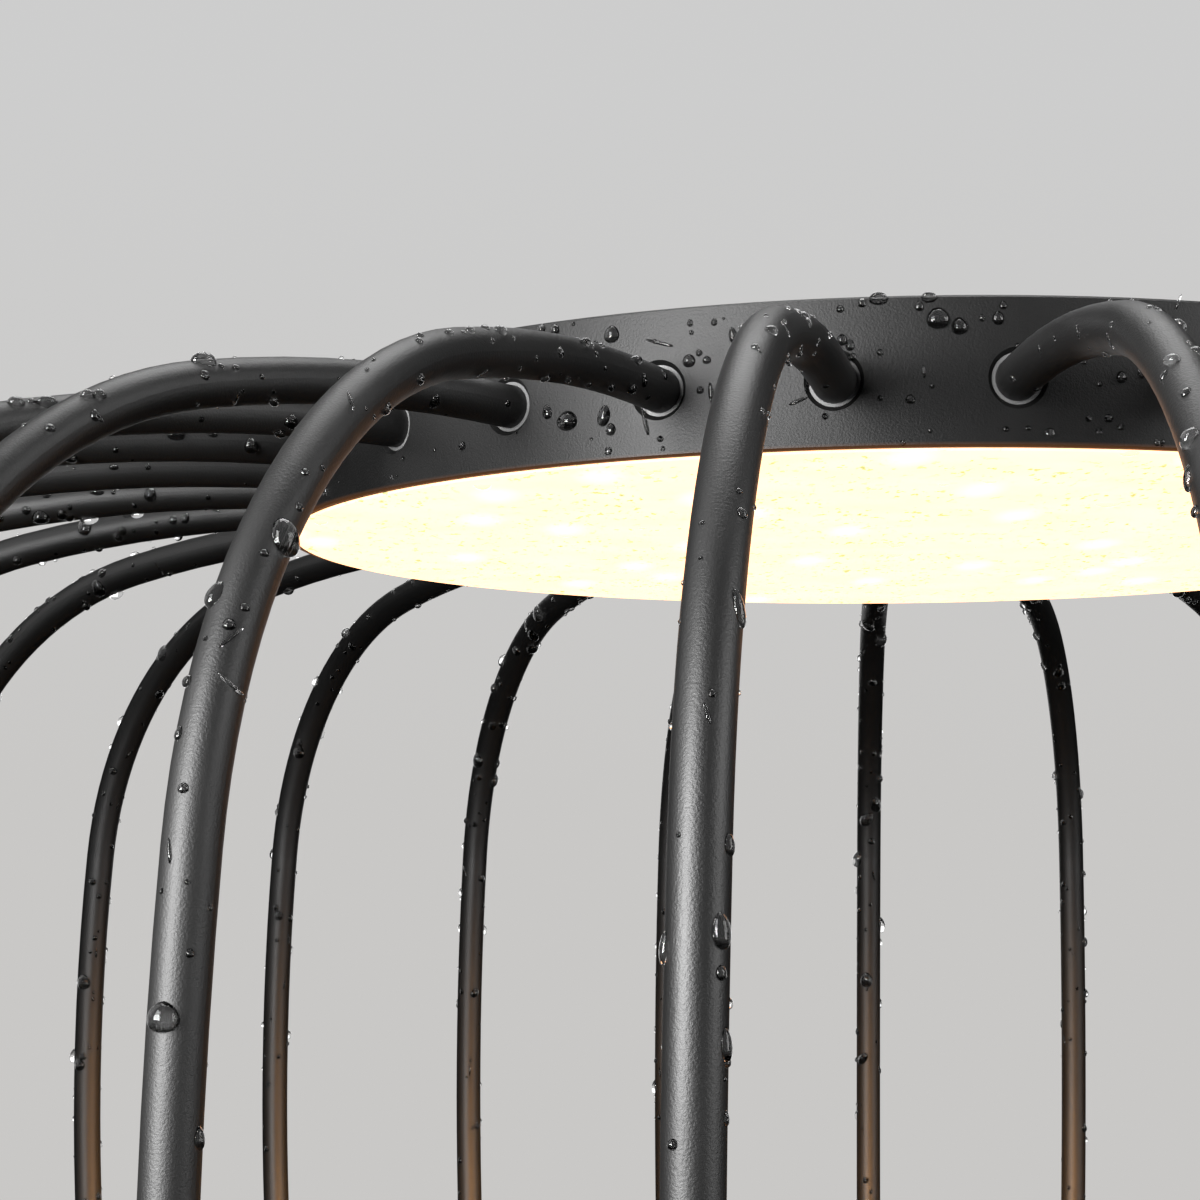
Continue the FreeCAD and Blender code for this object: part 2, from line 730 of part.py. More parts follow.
def cover_screws():
    """Countersunk screws with hexagon sockets, heads flush with the cover."""
    body = new_body("cover_screws", "cover_screw_turn")
    tip = "base_face + cover_screw_reach"
    corners = [
        ("0", "base_face"),
        ("cover_screw_head_dia / 2", "base_face"),
        ("cover_screw_dia / 2", "base_face + cover_head_height"),
        ("cover_screw_dia / 2", tip),
        ("0", tip),
    ]
    screw = turned(body, "screw", corners, shift="cover_screw_radius")
    sketch = new_sketch(body, "XY_Plane", "socket_sides", lift="base_face")
    hexagon(sketch, "cover_screw_radius", "0", "cover_socket")
    socket = extruded(body, "socket", sketch, "cover_socket_depth", "Pocket", reverse=True)
    ring_of(body, "ring", [screw, socket], "cover_screw_count")


def ballast_plates():
    """Two thick half rings with gaps for the cable and the cord."""
    body = new_body("ballast_plates")
    under = "ballast_under"
    top = "base_ceiling"
    inner = "ballast_inner"
    outer = "ballast_outer"
    turned(body, "ring", [(inner, under), (outer, under), (outer, top), (inner, top)])
    sides = ("-head_radius", "head_radius", "-ballast_slot / 2", "ballast_slot / 2")
    slab(body, "slot", sides, under, f"{top} - {under}", "Pocket", upward=True)
    middle = around("ballast_screw_radius", "ballast_screw_turn")
    hole = drilled(body, "screw_hole", [(*middle, loose("ballast_screw_dia"))], under, f"{top} - {under}")
    ring_of(body, "screw_holes", [hole], "ballast_screw_count")


def ballast_screws():
    body = new_body("ballast_screws", "ballast_screw_turn")
    screw = hung_screw(
        body, "ballast_under", "ballast_screw_head", "ballast_screw_head_dia", "ballast_screw_dia",
        "base_ceiling + thread_hold", shift="ballast_screw_radius")
    ring_of(body, "ring", [screw], "ballast_screw_count")


def led_driver():
    """Potted driver with an ear on each long side."""
    body = new_body("led_driver")
    half = "driver_width / 2"
    sides = ("-driver_end", "driver_end", f"-{half}", half)
    slab(body, "case", sides, "base_ceiling", "base_ceiling - driver_under")
    ear = f"{half} + driver_ear"
    ear_sides = ("-driver_ear_length / 2", "driver_ear_length / 2", f"-({ear})", ear)
    slab(body, "ears", ear_sides, "base_ceiling", "driver_ear_thick")
    holes = []
    for side in ("", "-"):
        holes.append(("0", f"{side}driver_screw_place", loose("driver_screw_dia")))
    drilled(body, "ear_holes", holes, "base_ceiling - driver_ear_thick", "driver_ear_thick")


def driver_screws():
    body = new_body("driver_screws")
    screw = hung_screw(
        body, "base_ceiling - driver_ear_thick", "driver_screw_head", "driver_screw_head_dia",
        "driver_screw_dia", "base_ceiling + thread_hold", lift="driver_screw_place")
    ring_of(body, "pair", [screw], "2")


def terminal_block():
    """Terminal for the supply cord, with a screw well for each pole."""
    body = new_body("terminal_block")
    half = "terminal_width / 2"
    sides = ("-terminal_start - terminal_length", "-terminal_start", f"-{half}", half)
    slab(body, "block", sides, "base_ceiling", "terminal_height")
    poles = count("terminal_poles")
    wells = []
    for pole in range(poles):
        place = f"({pole} + 0.5 - terminal_poles / 2) * terminal_width / terminal_poles"
        wells.append(("-terminal_start - terminal_length / 2", place, "terminal_well_dia"))
    drilled(body, "wells", wells, "base_ceiling - terminal_height", "terminal_well_depth")


def primary_lead():
    body = new_body("primary_lead")
    sketch = new_sketch(body, "YZ_Plane", "lead_round", lift="-terminal_start")
    circle(sketch, "0", "lower_rod", "lead_dia")
    extruded(body, "lead", sketch, "terminal_gap")


def cable_gland():
    """Body of the cord inlet: a shank in the rim, a hexagon outside and a neck under the cap."""
    body = new_body("cable_gland")
    inner_end = "-inner_radius + gland_inner_reach"
    bore = "gland_bore / 2"
    corners = [
        ("-gland_tip", bore),
        ("-gland_tip", "gland_neck_dia / 2"),
        ("-gland_seat", "gland_neck_dia / 2"),
        ("-gland_seat", "gland_thread_dia / 2"),
        (inner_end, "gland_thread_dia / 2"),
        (inner_end, bore),
    ]
    turned(body, "shank", corners, axis="H_Axis", rise="lower_rod")
    sketch = new_sketch(body, "YZ_Plane", "flange_sides", lift="-gland_shoulder")
    hexagon(sketch, "0", "lower_rod", "gland_flats")
    circle(sketch, "0", "lower_rod", "(gland_bore + gland_neck_dia) / 2")
    extruded(body, "flange", sketch, "gland_flange")


def gland_cap():
    """Fluted cap that closes on the cord."""
    body = new_body("gland_cap")
    bore = "gland_bore / 2"
    outside = "cap_dia / 2"
    inside = "gland_neck_dia / 2 + fit_gap"
    corners = [
        ("-cap_tip", bore),
        ("-cap_tip", f"{outside} - cap_round"),
        ("-cap_tip + cap_round", outside),
        ("-gland_shoulder", outside),
        ("-gland_shoulder", inside),
        ("-gland_tip", inside),
        ("-gland_tip", bore),
    ]
    cap = turned(body, "cap", corners, axis="H_Axis", rise="lower_rod")
    sketch = new_sketch(body, "YZ_Plane", "flute_round", lift="-cap_tip")
    circle(sketch, "0", f"lower_rod + {outside} + flute_dia / 2 - flute_depth", "flute_dia")
    flute = extruded(body, "flute", sketch, "cap_tip - gland_shoulder", "Pocket", reverse=True)
    ring_of(body, "flutes", [flute], "flute_count", axis=(cap.Profile[0], ["H_Axis"]))


def levelling_foot(index):
    """A stud in a boss of the base and the pad on its end."""
    turn = f"foot_turn + {index - 1} * 360 / foot_count"
    seat = "base_face - pad_socket"
    stud_corners = [
        ("0", seat),
        ("stud_dia / 2", seat),
        ("stud_dia / 2", "stud_tip - pad_edge"),
        ("stud_dia / 2 - pad_edge", "stud_tip"),
        ("0", "stud_tip"),
    ]
    stud = new_body(f"foot_stud_{index}", turn)
    turned(stud, "stud", stud_corners, shift="foot_radius")
    pad_corners = [
        ("0", "0"),
        ("pad_dia / 2 - pad_edge", "0"),
        ("pad_dia / 2", "pad_edge"),
        ("pad_dia / 2", "base_face"),
        ("stud_dia / 2 + fit_gap", "base_face"),
        ("stud_dia / 2 + fit_gap", seat),
        ("0", seat),
    ]
    pad = new_body(f"foot_pad_{index}", turn)
    turned(pad, "pad", pad_corners, shift="foot_radius")


def build_head():
    head_housing()
    collars("head_collars", "upper_rod")
    rod_screws("head_rod_screws", "upper_rod")
    light_plate("heat_spreader", "spreader_radius", "spreader_under", "spreader_thick")
    light_plate("led_board", "board_radius", "board_under", "board_thick")
    led_chips()
    board_screws()
    head_connector()
    reflector()
    gasket_inside = "inner_radius + slip_gap"
    flat_ring(
        "diffuser_gasket", gasket_inside, f"{gasket_inside} + gasket_width",
        "diffuser_top + tab_play", "head_face + head_rebate")
    diffuser()


def build_cage():
    for index in range(1, count("rod_count")):
        cage_rod(index)
    feed_tube()
    feed_tube_nuts()
    feed_cable()


def build_base():
    base_housing()
    collars("base_collars", "lower_rod")
    rod_screws("base_rod_screws", "lower_rod")
    ballast_plates()
    ballast_screws()
    led_driver()
    driver_screws()
    terminal_block()
    primary_lead()
    cable_gland()
    gland_cap()
    gasket_inside = "inner_radius + slip_gap"
    flat_ring(
        "base_gasket", gasket_inside, f"{gasket_inside} + gasket_width",
        "cover_top", "base_face + base_rebate")
    base_cover()
    cover_screws()
    for index in range(1, count("foot_count") + 1):
        levelling_foot(index)


def check_model():
    """Stops if a feature failed, a cut removed nothing or a sub-part is not a sound solid."""
    for item in doc.Objects:
        if {"Invalid", "Error"} & set(item.State):
            raise RuntimeError(f"{item.Name} failed: {item.State}")
        if item.TypeId in ("PartDesign::Pocket", "PartDesign::Groove"):
            if item.Shape.Volume >= item.BaseFeature.Shape.Volume:
                raise RuntimeError(f"{item.Name} of {item.getParentGeoFeatureGroup().Label} cuts nothing")
    for body in sub_parts:
        if body.Shape.isNull() or not body.Shape.Solids or not body.Shape.isValid():
            raise RuntimeError(f"{body.Label} is not a sound solid")


def write_parts():
    os.makedirs("parts", exist_ok=True)
    for body in sub_parts:
        body.Shape.exportStep(f"parts/{body.Label}.step")


build_head()
build_cage()
build_base()
doc.recompute()
check_model()
write_parts()
print(f"{len(sub_parts)} sub-parts, {sum(len(body.Shape.Solids) for body in sub_parts)} solids")
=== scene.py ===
import json
import math
import random

import bmesh
import bpy
import numpy as np
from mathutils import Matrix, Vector
from mathutils.bvhtree import BVHTree


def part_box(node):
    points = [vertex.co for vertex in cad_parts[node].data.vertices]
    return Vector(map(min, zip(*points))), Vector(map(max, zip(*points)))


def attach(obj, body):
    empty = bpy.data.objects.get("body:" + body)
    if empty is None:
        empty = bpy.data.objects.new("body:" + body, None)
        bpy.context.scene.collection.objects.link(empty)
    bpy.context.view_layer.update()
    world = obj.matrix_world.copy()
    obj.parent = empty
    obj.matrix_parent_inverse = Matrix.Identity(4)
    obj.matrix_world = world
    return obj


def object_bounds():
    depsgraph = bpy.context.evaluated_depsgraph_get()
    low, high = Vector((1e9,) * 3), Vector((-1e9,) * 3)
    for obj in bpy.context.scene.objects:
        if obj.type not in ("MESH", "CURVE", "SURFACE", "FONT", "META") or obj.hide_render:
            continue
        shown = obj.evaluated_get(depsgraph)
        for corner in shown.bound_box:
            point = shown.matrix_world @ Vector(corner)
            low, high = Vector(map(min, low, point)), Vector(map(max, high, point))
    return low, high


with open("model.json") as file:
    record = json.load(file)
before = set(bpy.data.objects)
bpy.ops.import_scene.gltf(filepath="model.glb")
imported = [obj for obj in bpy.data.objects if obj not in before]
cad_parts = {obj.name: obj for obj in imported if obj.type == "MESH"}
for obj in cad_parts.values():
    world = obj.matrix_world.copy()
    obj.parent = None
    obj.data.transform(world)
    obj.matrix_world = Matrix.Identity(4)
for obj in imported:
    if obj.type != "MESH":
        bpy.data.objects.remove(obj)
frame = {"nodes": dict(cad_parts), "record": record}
cad_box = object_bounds()
nodes = frame["nodes"]

MM = 0.001
UP = Vector((0, 0, 1))
LAMP_BODY = "lamp_frame"
DIFFUSER_BODY = "diffuser_disc"

head_low, head_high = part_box("head_housing")
_, base_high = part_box("base_housing")
rod_names = sorted(name for name in nodes if name.startswith("cage_rod_")) + ["feed_tube"]
HEAD_RADIUS = head_high.x
MIDDLE = Vector((0, 0, (cad_box[0].z + cad_box[1].z) / 2))

# Camera, as the photograph was taken: level, with the picture moved up on the lens
IMAGE_SIZE = 1200                   # pixels each way
FOCAL_LENGTH = 2628.5               # in those pixels
HORIZON_ROW = 861.9
SENSOR = 36                         # its width in millimetres
NEAREST_SEEN = 0.01
VIEW_TURN = math.radians(2.166)     # to the right of +Y
AXIS_AHEAD = 0.7543                 # from the camera to the lamp's axis
AXIS_ASIDE = 0.0857                 # the lamp's axis to the right of the line of sight
BELOW_HEAD = 0.0916                 # camera under the head's lower edge
ahead = Vector((math.sin(VIEW_TURN), math.cos(VIEW_TURN), 0))
right = Vector((ahead.y, -ahead.x, 0))
camera_spot = UP * (head_low.z - BELOW_HEAD) - ahead * AXIS_AHEAD - right * AXIS_ASIDE


# Noise values lie round a half: nearly all of them within the wide range, most of them within the narrow one
WIDE = (0.3, 0.7)
NARROW = (0.35, 0.65)


class Finish:
    """A procedural material, grown node by node round its Principled shader."""

    def __init__(self, name, values=None):
        self.material = bpy.data.materials.new(name)
        self.material.use_nodes = True
        self.tree = self.material.node_tree
        self.shader = self.tree.nodes["Principled BSDF"]
        self.output = self.tree.nodes["Material Output"]
        for label, number in (values or {}).items():
            self.shader.inputs[label].default_value = number
        self.place = self.add("ShaderNodeTexCoord").outputs["Object"]

    def add(self, kind, inputs=None, **settings):
        node = self.tree.nodes.new(kind)
        for label, choice in settings.items():
            setattr(node, label, choice)
        for label, source in (inputs or {}).items():
            self.feed(node.inputs[label], source)
        return node

    def feed(self, socket, source):
        if isinstance(source, bpy.types.NodeSocket):
            self.tree.links.new(source, socket)
        else:
            socket.default_value = source

    def stretched(self, x, y, z):
        """Places for a pattern that is longer along an axis the smaller its number is."""
        scale = {"Vector": self.place, "Scale": (x, y, z)}
        return self.add("ShaderNodeMapping", scale).outputs["Vector"]

    def noise(self, grain, detail=2.0, rough=0.5, place=None):
        """Noise with lumps of about the grain's size."""
        inputs = {"Vector": place or self.place, "Scale": 1 / grain, "Detail": detail, "Roughness": rough}
        return self.add("ShaderNodeTexNoise", inputs).outputs["Fac"]

    def cells(self, spacing, place):
        """Distance in the plane to the nearest of points scattered so far apart, in shares of that."""
        inputs = {"Vector": place, "Scale": 1 / spacing}
        return self.add("ShaderNodeTexVoronoi", inputs, voronoi_dimensions="2D").outputs["Distance"]

    def times(self, first, second):
        return self.add("ShaderNodeMath", {0: first, 1: second}, operation="MULTIPLY").outputs[0]

    def spread(self, source, low, high, start=0.0, stop=1.0):
        """Maps start to stop onto low to high."""
        inputs = {"Value": source, "From Min": start, "From Max": stop, "To Min": low, "To Max": high}
        return self.add("ShaderNodeMapRange", inputs).outputs["Result"]

    def mixed(self, share, first, second):
        """Blends two colours, which are the node's inputs 6 and 7 and its output 2."""
        node = self.add("ShaderNodeMix", data_type="RGBA")
        self.feed(node.inputs["Factor"], share)
        self.feed(node.inputs[6], first)
        self.feed(node.inputs[7], second)
        return node.outputs[2]

    def colour(self, source):
        self.feed(self.shader.inputs["Base Color"], source)

    def rough(self, source):
        self.feed(self.shader.inputs["Roughness"], source)

    def bumps(self, *layers):
        """Stacks bump layers of (height, depth in metres)."""
        normal = None
        for height, depth in layers:
            node = self.add("ShaderNodeBump", {"Height": height, "Distance": depth})
            if normal:
                self.feed(node.inputs["Normal"], normal)
            normal = node.outputs["Normal"]
        self.feed(self.shader.inputs["Normal"], normal)


def grey(level, warm=0.0):
    return (level * (1 + warm), level, level * (1 - warm), 1)


BLACK = grey(0.002)
WORN_BLACK = grey(0.004)
DUSTY_BLACK = grey(0.004, 0.02)

# Powder coat: sizes of its patterns, depth of its bumps, range of its roughness
COAT_GRAIN = 0.5 * MM
COAT_PEEL = 2.6 * MM
COAT_HAZE = 60 * MM
COAT_GRAIN_DEPTH = 0.085 * MM
COAT_PEEL_DEPTH = 0.012 * MM
COAT_ROUGHNESS = (0.46, 0.52)

# Painted glow: the diffuser's warm light on the head's lower edge, put into the paint's emission, which
# fades upward
LIP_GLOW = (0.10, 0.038, 0.012, 1)
LIP_GLOW_HEIGHT = 1.2 * MM
LIP_BAND = (head_low.z - 2 * MM, head_low.z - MM)   # pieces further down stay dark


def powder_coat(name, sheen):
    """Black paint with the fine dry grain of a powder coat."""
    finish = Finish(name, {"Specular IOR Level": sheen})
    grain = finish.noise(COAT_GRAIN, detail=2.5, rough=0.6)
    peel = finish.noise(COAT_PEEL)
    haze = finish.noise(COAT_HAZE, detail=3.0)
    finish.colour(finish.mixed(finish.spread(haze, 0, 1, *NARROW), BLACK, DUSTY_BLACK))
    finish.rough(finish.spread(haze, *COAT_ROUGHNESS, *NARROW))
    finish.bumps((grain, COAT_GRAIN_DEPTH), (peel, COAT_PEEL_DEPTH))
    return finish


def with_painted_lip_glow(finish):
    """Paint with a painted glow in its emission where it ends round that disc, standing in for the
    diffuser's light.
    """
    height = finish.add("ShaderNodeSeparateXYZ", {0: finish.place}).outputs["Z"]
    fading = finish.spread(height, 1, 0, head_low.z, head_low.z + LIP_GLOW_HEIGHT)
    at_head = finish.spread(height, 0, 1, *LIP_BAND)
    # painted glow: warm emission in a thin band at the lip, in place of the diffuser's light
    glow = finish.mixed(finish.times(fading, at_head), grey(0.0), LIP_GLOW)
    finish.feed(finish.shader.inputs["Emission Color"], glow)
    finish.feed(finish.shader.inputs["Emission Strength"], 1.0)
    return finish


SCRATCH_SHARE = 0.06                # a scratch's width, in shares of its length
SCRATCH_DEPTH = 0.004 * MM
TARNISH = 0.9                       # brightness of the darkest metal, in shares of the brightest
TARNISH_SIZE = 6 * MM


def metal(name, level, rough_low, rough_high, scratch, bare=1.0):
    """Metal with fine scratches along one direction; less bare metal is duller."""
    finish = Finish(name, {"Metallic": bare})
    lines = finish.noise(scratch, detail=3.0, rough=0.6, place=finish.stretched(1, 1, SCRATCH_SHARE))
    cloud = finish.noise(TARNISH_SIZE)
    finish.colour(finish.mixed(cloud, grey(level * TARNISH), grey(level)))
    finish.rough(finish.spread(lines, rough_low, rough_high, *WIDE))
    finish.bumps((lines, SCRATCH_DEPTH))
    return finish.material


STAIN = 0.82                        # brightness of the darkest plastic or rubber, in shares of the lightest
STAIN_SIZE = 25 * MM


def moulded(name, colour, rough_low, rough_high, grain, depth):
    """Plastic, rubber or enamel with a moulded or sprayed grain."""
    finish = Finish(name)
    grains = finish.noise(grain, rough=0.55)
    cloud = finish.noise(STAIN_SIZE, detail=3.0)
    darker = tuple(STAIN * channel for channel in colour) + (1,)
    finish.colour(finish.mixed(finish.spread(cloud, 0, 1, *WIDE), darker, (*colour, 1)))
    finish.rough(finish.spread(grains, rough_low, rough_high, *WIDE))
    finish.bumps((grains, depth))
    return finish.material


# Opal disc: colours of its light and of its unlit face, sizes and ranges of its patterns
OPAL_GLOW = ((1.0, 0.50, 0.245, 1), (1.0, 0.50, 0.27, 1))
OPAL_FLECK = (0.26, 0.25, 0.085, 1)
OPAL_HOT = (1.0, 0.58, 0.37, 1)
OPAL_FACE = ((0.30, 0.28, 0.22, 1), (0.34, 0.32, 0.26, 1))
OPAL_STRETCH = 0.42                 # width of flecks and hot spots, in shares of their length
CLOUD_SIZE = 22 * MM
FLECK_SIZE = 2.3 * MM
FLECK_EDGE = (0.59, 0.65)           # noise at the edge of a fleck and where it is full
FLECKY_PATCH_SIZE = 26 * MM
FLECKY_PATCH_EDGE = (0.38, 0.58)
HOT_SPACING = 36 * MM
HOT_REACH = 0.2                     # in shares of the spacing


def lit_opal(name):
    """Opal disc lit from behind: warm cream, with soft hot spots and small yellow flecks."""
    finish = Finish(name, {"Roughness": 0.5, "Specular IOR Level": 0.1, "Emission Strength": 3.0})
    drawn_out = finish.stretched(1, OPAL_STRETCH, 1)
    clouds = finish.noise(CLOUD_SIZE)
    flecks = finish.noise(FLECK_SIZE, detail=2.5, rough=0.6, place=drawn_out)
    patches = finish.noise(FLECKY_PATCH_SIZE, detail=1.0)
    spots = finish.cells(HOT_SPACING, drawn_out)
    glow = finish.mixed(finish.spread(clouds, 0, 1, *NARROW), *OPAL_GLOW)
    fleck = finish.spread(flecks, 0, 1, *FLECK_EDGE)
    flecky_patch = finish.spread(patches, 0, 1, *FLECKY_PATCH_EDGE)
    flecked = finish.mixed(finish.times(fleck, flecky_patch), glow, OPAL_FLECK)
    hot = finish.mixed(finish.spread(spots, 1, 0, 0.0, HOT_REACH), flecked, OPAL_HOT)
    finish.colour(finish.mixed(clouds, *OPAL_FACE))
    finish.feed(finish.shader.inputs["Emission Color"], hot)
    return finish.material


WATER = {"Base Color": grey(0.9), "Roughness": 0.0, "IOR": 1.333, "Transmission Weight": 1.0}
RIPPLE_SIZE = 3 * MM
RIPPLE_DEPTH = 0.02 * MM
WET_GRAIN = 0.6 * MM


def rain_water(name):
    """Clear water with a barely uneven skin."""
    finish = Finish(name, WATER)
    finish.bumps((finish.noise(RIPPLE_SIZE, detail=1.0), RIPPLE_DEPTH))
    return finish.material


def wet_paint(name):
    """Black paint under a drop: water takes the sheen off it."""
    finish = Finish(name, {"Specular IOR Level": 0.05, "Roughness": 0.4})
    finish.colour(finish.mixed(finish.noise(WET_GRAIN), BLACK, WORN_BLACK))
    return finish.material


def paint_nodes():
    """Gives each node of the frame the finish of its material slot."""
    # powder_coat: sheen. metal: brightness, least and greatest roughness, width of its scratches, share of
    # bare metal. moulded: colour, least and greatest roughness, size and depth of its grain.
    finishes = {
        "cage_black": powder_coat("cage_coat", 0.5).material,
        # the head housing's paint carries a painted glow of the diffuser's light along its lower edge
        "housing_black": with_painted_lip_glow(powder_coat("housing_coat", 0.33)).material,
        "collar_steel": metal("collar_steel", 0.17, 0.55, 0.7, 0.12 * MM, 0.4),
        "screw_steel": metal("screw_steel", 0.62, 0.22, 0.38, 0.15 * MM),
        "opal_diffuser": lit_opal("lit_opal"),
        "seal_rubber": moulded("seal_rubber", (0.03, 0.03, 0.03), 0.65, 0.85, 0.4 * MM, 0.03 * MM),
        "bare_aluminium": metal("bare_aluminium", 0.78, 0.30, 0.45, 0.2 * MM),
        "board_white": moulded("board_white", (0.85, 0.85, 0.82), 0.35, 0.5, 0.8 * MM, 0.01 * MM),
        "led_phosphor": moulded("led_phosphor", (0.9, 0.66, 0.12), 0.3, 0.45, 0.3 * MM, 0.01 * MM),
        "reflector_white": moulded("reflector_white", (0.88, 0.88, 0.86), 0.3, 0.45, 1.2 * MM, 0.02 * MM),
        "ballast_iron": moulded("ballast_iron", (0.10, 0.10, 0.11), 0.55, 0.75, 0.7 * MM, 0.08 * MM),
        "case_plastic": moulded("case_plastic", (0.70, 0.70, 0.68), 0.45, 0.6, 0.5 * MM, 0.03 * MM),
        "gland_plastic": moulded("gland_plastic", (0.022, 0.022, 0.024), 0.38, 0.52, 0.35 * MM, 0.025 * MM),
        "cable_jacket": moulded("cable_jacket", (0.02, 0.02, 0.02), 0.4, 0.55, 0.5 * MM, 0.02 * MM),
        "foot_rubber": moulded("foot_rubber", (0.025, 0.025, 0.025), 0.7, 0.88, 0.5 * MM, 0.05 * MM),
    }
    for part in frame["record"]["subparts"]:
        for slot in nodes[part["node"]].material_slots:
            slot.material = finishes[part["material_slot"]]


# Rain drops: a drop's size is its radius along the surface
RODS_IN_A_PIECE = 2
CAGE_SEED = 11
CUPS_SEED = 23
DISC_SEED = 37
HIGH_DROPS = 66                     # on the upper half of each rod at the front
LOW_DROPS = 40                      # on its lower half
FAR_SHARE = 2.0                     # rods at the back have so many times as many
HEAD_RIM_DROPS = 230
HEAD_TOP_DROPS = 240
BASE_RIM_DROPS = 110
BASE_TOP_DROPS = 130
DISC_DROPS = 90
SMALLEST_DROP = 0.36 * MM
SMALLEST_FAR = 0.55 * MM            # at the back
LARGEST_DROP = 2.6 * MM
LARGEST_NEAR = 1.2 * MM             # at the front, where the drops that stand out are placed one by one
DROP_FALL_OFF = 1.4                 # how fast large drops get rare
FINE_FROM = 0.7 * MM                # drops over this size have finer meshes,
FINEST_FROM = 1.4 * MM              # and over this size the finest
MESH_LEVELS = (2, 3, 4)             # subdivisions of the balls that drops are made from
DROP_SPACING = 0.9                  # least distance of two drops, in shares of their sizes' sum
DROP_HEIGHT = 0.8                   # of drops placed one by one, in shares of their size
DROP_HEIGHTS = (0.7, 1.05)          # range of the scattered ones
DISC_DROP_HEIGHT = 0.45             # of drops under the disc, in shares of others' heights
DROP_SINK = 0.1                     # middle of a drop under the surface, in shares of its height
DROP_LIFT = 0.02 * MM               # underside of a drop above the surface
DROP_LUMPS = (0.02, 0.06)           # range of a drop's unevenness
LUMP_WAVES = 2.4                    # waves of that unevenness, in radians along a drop's size
DROP_BELLY = 0.16                   # a drop on a wall is so much wider at its foot,
DROP_SAG = 0.18                     # and its crown hangs so far down
PRESSED_BELOW = 0.5                 # points of the ball up to this height may lie on the surface
LEVEL_SLOPE = 0.05                  # a surface with less slope has no way down
MOST_STRETCH = 0.5                  # how much longer than wide a scattered drop can be,
STRETCHED_SIZE = 2 * MM             # from this size on
STREAK_SHARE = 0.04                 # share of drops that are thin streaks
STREAK_SIZES = (0.35, 0.5)          # in millimetres
STREAK_LENGTHS = (3, 6)             # in shares of their size
DROP_LEAN = 0.35                    # usual turn of a drop from the way down, in radians
CLEAR_OF_RIM = 2 * MM
NEAR_RIM = 0.2 * MM
NEAR_TOP = 0.1 * MM
UPRIGHT = 0.2                       # greatest rise of the normal on a wall
FLAT = 0.9                          # least rise of the normal on a flat top

